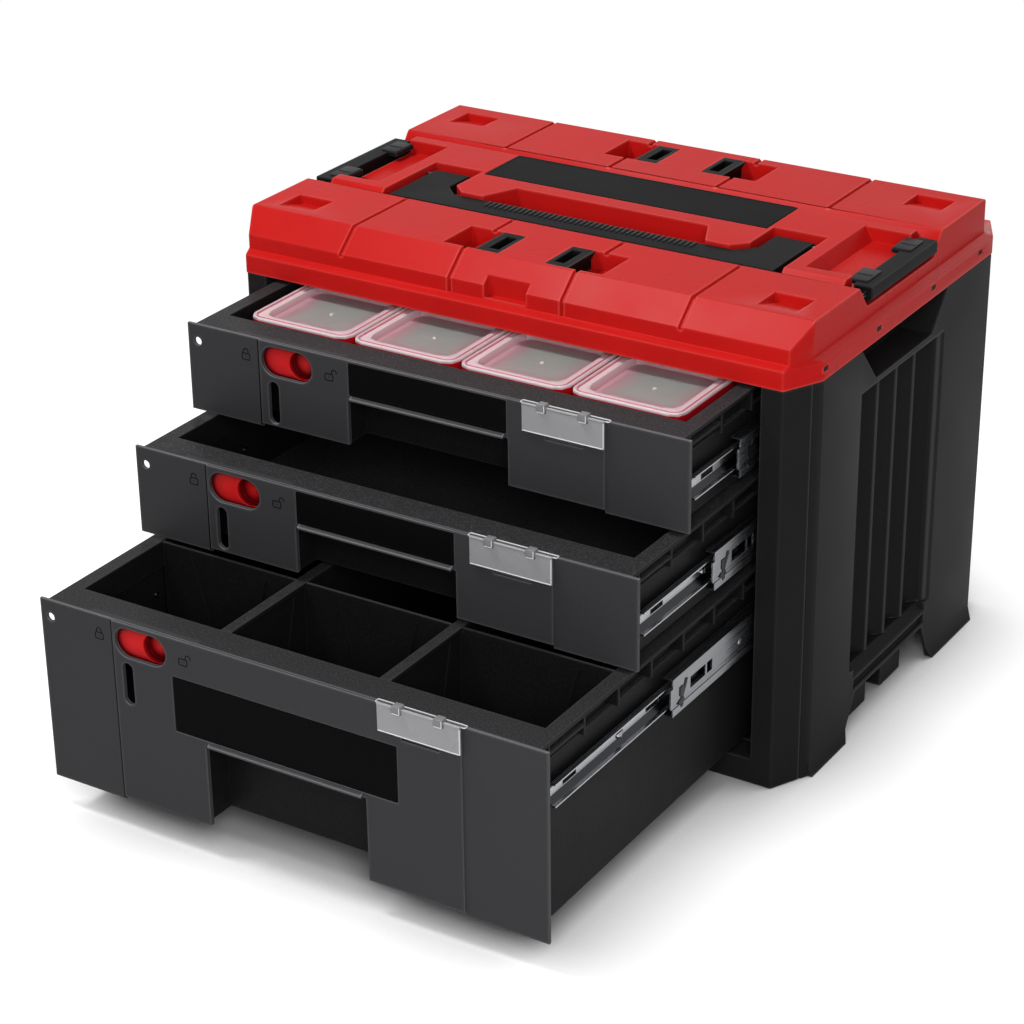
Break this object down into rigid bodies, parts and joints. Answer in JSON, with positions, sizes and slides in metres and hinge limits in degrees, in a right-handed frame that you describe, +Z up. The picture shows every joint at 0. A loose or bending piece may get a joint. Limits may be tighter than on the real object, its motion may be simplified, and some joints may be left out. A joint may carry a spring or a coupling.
{
  "type": "stackable tool case with drawers",
  "caption": "Stackable black tool case with a red lid, folding carry handle, side latches and drawers on ball-bearing slides, each with a sliding lock and a label holder.",
  "frame": {"origin": "on the floor, under the middle of the front sill's outer face", "axes": "+X to the right of someone facing the drawers, +Y from front to back, +Z up"},
  "size_m": [0.444, 0.5739, 0.325],
  "materials": {
    "case_black": "fine-grained black moulding",
    "drawer_black": "fine-grained black moulding",
    "lid_red": "satin red moulding",
    "catch_black": "satin black moulding",
    "lock_red": "glossy red moulding",
    "bin_red": "glossy red moulding",
    "clear_plastic": "clear moulding",
    "card_grey": "plain card",
    "slide_steel": "bright zinc-plated sheet",
    "cage_black": "black moulding",
    "pin_steel": "plain steel"
  },
  "bodies": {
    "case": {"front_frame": "case_black", "side_wall_left": "case_black", "side_wall_right": "case_black", "back_wall": "case_black", "base": "case_black", "lid": "lid_red", "stack_catches": "catch_black", "handle_pins": "pin_steel", "latch_pins": "pin_steel", "slide_outer_bottom": "slide_steel", "slide_outer_middle": "slide_steel", "slide_outer_top": "slide_steel"},
    "handle": {"carry_handle": "catch_black"},
    "latch_left": {"stack_latch_left": "catch_black"},
    "latch_right": {"stack_latch_right": "catch_black"},
    "drawer_bottom": {"drawer_panel_bottom": "drawer_black", "drawer_tray_bottom": "drawer_black", "slide_inner_bottom": "slide_steel", "label_card_bottom": "card_grey", "divider_left": "drawer_black", "divider_right": "drawer_black", "cross_walls": "drawer_black"},
    "rail_bottom_left": {"slide_middle_bottom_left": "slide_steel", "ball_cages_bottom_left": "cage_black"},
    "rail_bottom_right": {"slide_middle_bottom_right": "slide_steel", "ball_cages_bottom_right": "cage_black"},
    "lock_bottom": {"lock_slider_bottom": "lock_red"},
    "label_bottom": {"label_cover_bottom": "clear_plastic"},
    "drawer_middle": {"drawer_panel_middle": "drawer_black", "drawer_tray_middle": "drawer_black", "slide_inner_middle": "slide_steel", "label_card_middle": "card_grey"},
    "rail_middle_left": {"slide_middle_middle_left": "slide_steel", "ball_cages_middle_left": "cage_black"},
    "rail_middle_right": {"slide_middle_middle_right": "slide_steel", "ball_cages_middle_right": "cage_black"},
    "lock_middle": {"lock_slider_middle": "lock_red"},
    "label_middle": {"label_cover_middle": "clear_plastic"},
    "drawer_top": {"drawer_panel_top": "drawer_black", "drawer_tray_top": "drawer_black", "slide_inner_top": "slide_steel", "label_card_top": "card_grey", "bin_1": "bin_red", "bin_lid_1": "clear_plastic", "bin_2": "bin_red", "bin_lid_2": "clear_plastic", "bin_3": "bin_red", "bin_lid_3": "clear_plastic", "bin_4": "bin_red", "bin_lid_4": "clear_plastic", "rear_bins": "bin_red", "rear_bin_lids": "clear_plastic"},
    "rail_top_left": {"slide_middle_top_left": "slide_steel", "ball_cages_top_left": "cage_black"},
    "rail_top_right": {"slide_middle_top_right": "slide_steel", "ball_cages_top_right": "cage_black"},
    "lock_top": {"lock_slider_top": "lock_red"},
    "label_top": {"label_cover_top": "clear_plastic"}
  },
  "joints": [
    {"name": "handle_lift", "type": "hinge", "parent": "case", "child": "handle", "pos_m": [0, 0.15, 0.3185], "axis": [-1, 0, 0], "range_deg": [0, 95]},
    {"name": "latch_right_swing", "type": "hinge", "parent": "case", "child": "latch_right", "pos_m": [0.2115, 0.1495, 0.3165], "axis": [0, 1, 0], "range_deg": [0, 100]},
    {"name": "latch_left_swing", "type": "hinge", "parent": "case", "child": "latch_left", "pos_m": [-0.2115, 0.1495, 0.3165], "axis": [0, -1, 0], "range_deg": [0, 100]},
    {"name": "drawer_bottom_slide", "type": "slide", "parent": "case", "child": "drawer_bottom", "axis": [0, -1, 0], "range_m": [-0.2532, 0.0068]},
    {"name": "rail_bottom_left_slide", "type": "slide", "parent": "case", "child": "rail_bottom_left", "axis": [0, -1, 0], "range_m": [-0.1271, 0.0039]},
    {"name": "rail_bottom_right_slide", "type": "slide", "parent": "case", "child": "rail_bottom_right", "axis": [0, -1, 0], "range_m": [-0.1271, 0.0039]},
    {"name": "lock_bottom_slide", "type": "slide", "parent": "drawer_bottom", "child": "lock_bottom", "axis": [-1, 0, 0], "range_m": [0, 0.019]},
    {"name": "label_bottom_swing", "type": "hinge", "parent": "drawer_bottom", "child": "label_bottom", "pos_m": [0.09825, -0.25474, 0.151], "axis": [-1, 0, 0], "range_deg": [0, 95]},
    {"name": "drawer_middle_slide", "type": "slide", "parent": "case", "child": "drawer_middle", "axis": [0, -1, 0], "range_m": [-0.1503, 0.1097]},
    {"name": "rail_middle_left_slide", "type": "slide", "parent": "case", "child": "rail_middle_left", "axis": [0, -1, 0], "range_m": [-0.0756, 0.0554]},
    {"name": "rail_middle_right_slide", "type": "slide", "parent": "case", "child": "rail_middle_right", "axis": [0, -1, 0], "range_m": [-0.0756, 0.0554]},
    {"name": "lock_middle_slide", "type": "slide", "parent": "drawer_middle", "child": "lock_middle", "axis": [-1, 0, 0], "range_m": [0, 0.019]},
    {"name": "label_middle_swing", "type": "hinge", "parent": "drawer_middle", "child": "label_middle", "pos_m": [0.09825, -0.15178, 0.2166], "axis": [-1, 0, 0], "range_deg": [0, 95]},
    {"name": "drawer_top_slide", "type": "slide", "parent": "case", "child": "drawer_top", "axis": [0, -1, 0], "range_m": [-0.0888, 0.1712]},
    {"name": "rail_top_left_slide", "type": "slide", "parent": "case", "child": "rail_top_left", "axis": [0, -1, 0], "range_m": [-0.0449, 0.0861]},
    {"name": "rail_top_right_slide", "type": "slide", "parent": "case", "child": "rail_top_right", "axis": [0, -1, 0], "range_m": [-0.0449, 0.0861]},
    {"name": "lock_top_slide", "type": "slide", "parent": "drawer_top", "child": "lock_top", "axis": [-1, 0, 0], "range_m": [0, 0.019]},
    {"name": "label_top_swing", "type": "hinge", "parent": "drawer_top", "child": "label_top", "pos_m": [0.09825, -0.09029, 0.2817], "axis": [-1, 0, 0], "range_deg": [0, 95]}
  ],
  "couplings": [
    {"joint": "rail_bottom_left_slide", "follows": "drawer_bottom_slide", "ratio": 0.5},
    {"joint": "rail_bottom_right_slide", "follows": "drawer_bottom_slide", "ratio": 0.5},
    {"joint": "rail_middle_left_slide", "follows": "drawer_middle_slide", "ratio": 0.5},
    {"joint": "rail_middle_right_slide", "follows": "drawer_middle_slide", "ratio": 0.5},
    {"joint": "rail_top_left_slide", "follows": "drawer_top_slide", "ratio": 0.5},
    {"joint": "rail_top_right_slide", "follows": "drawer_top_slide", "ratio": 0.5}
  ]
}
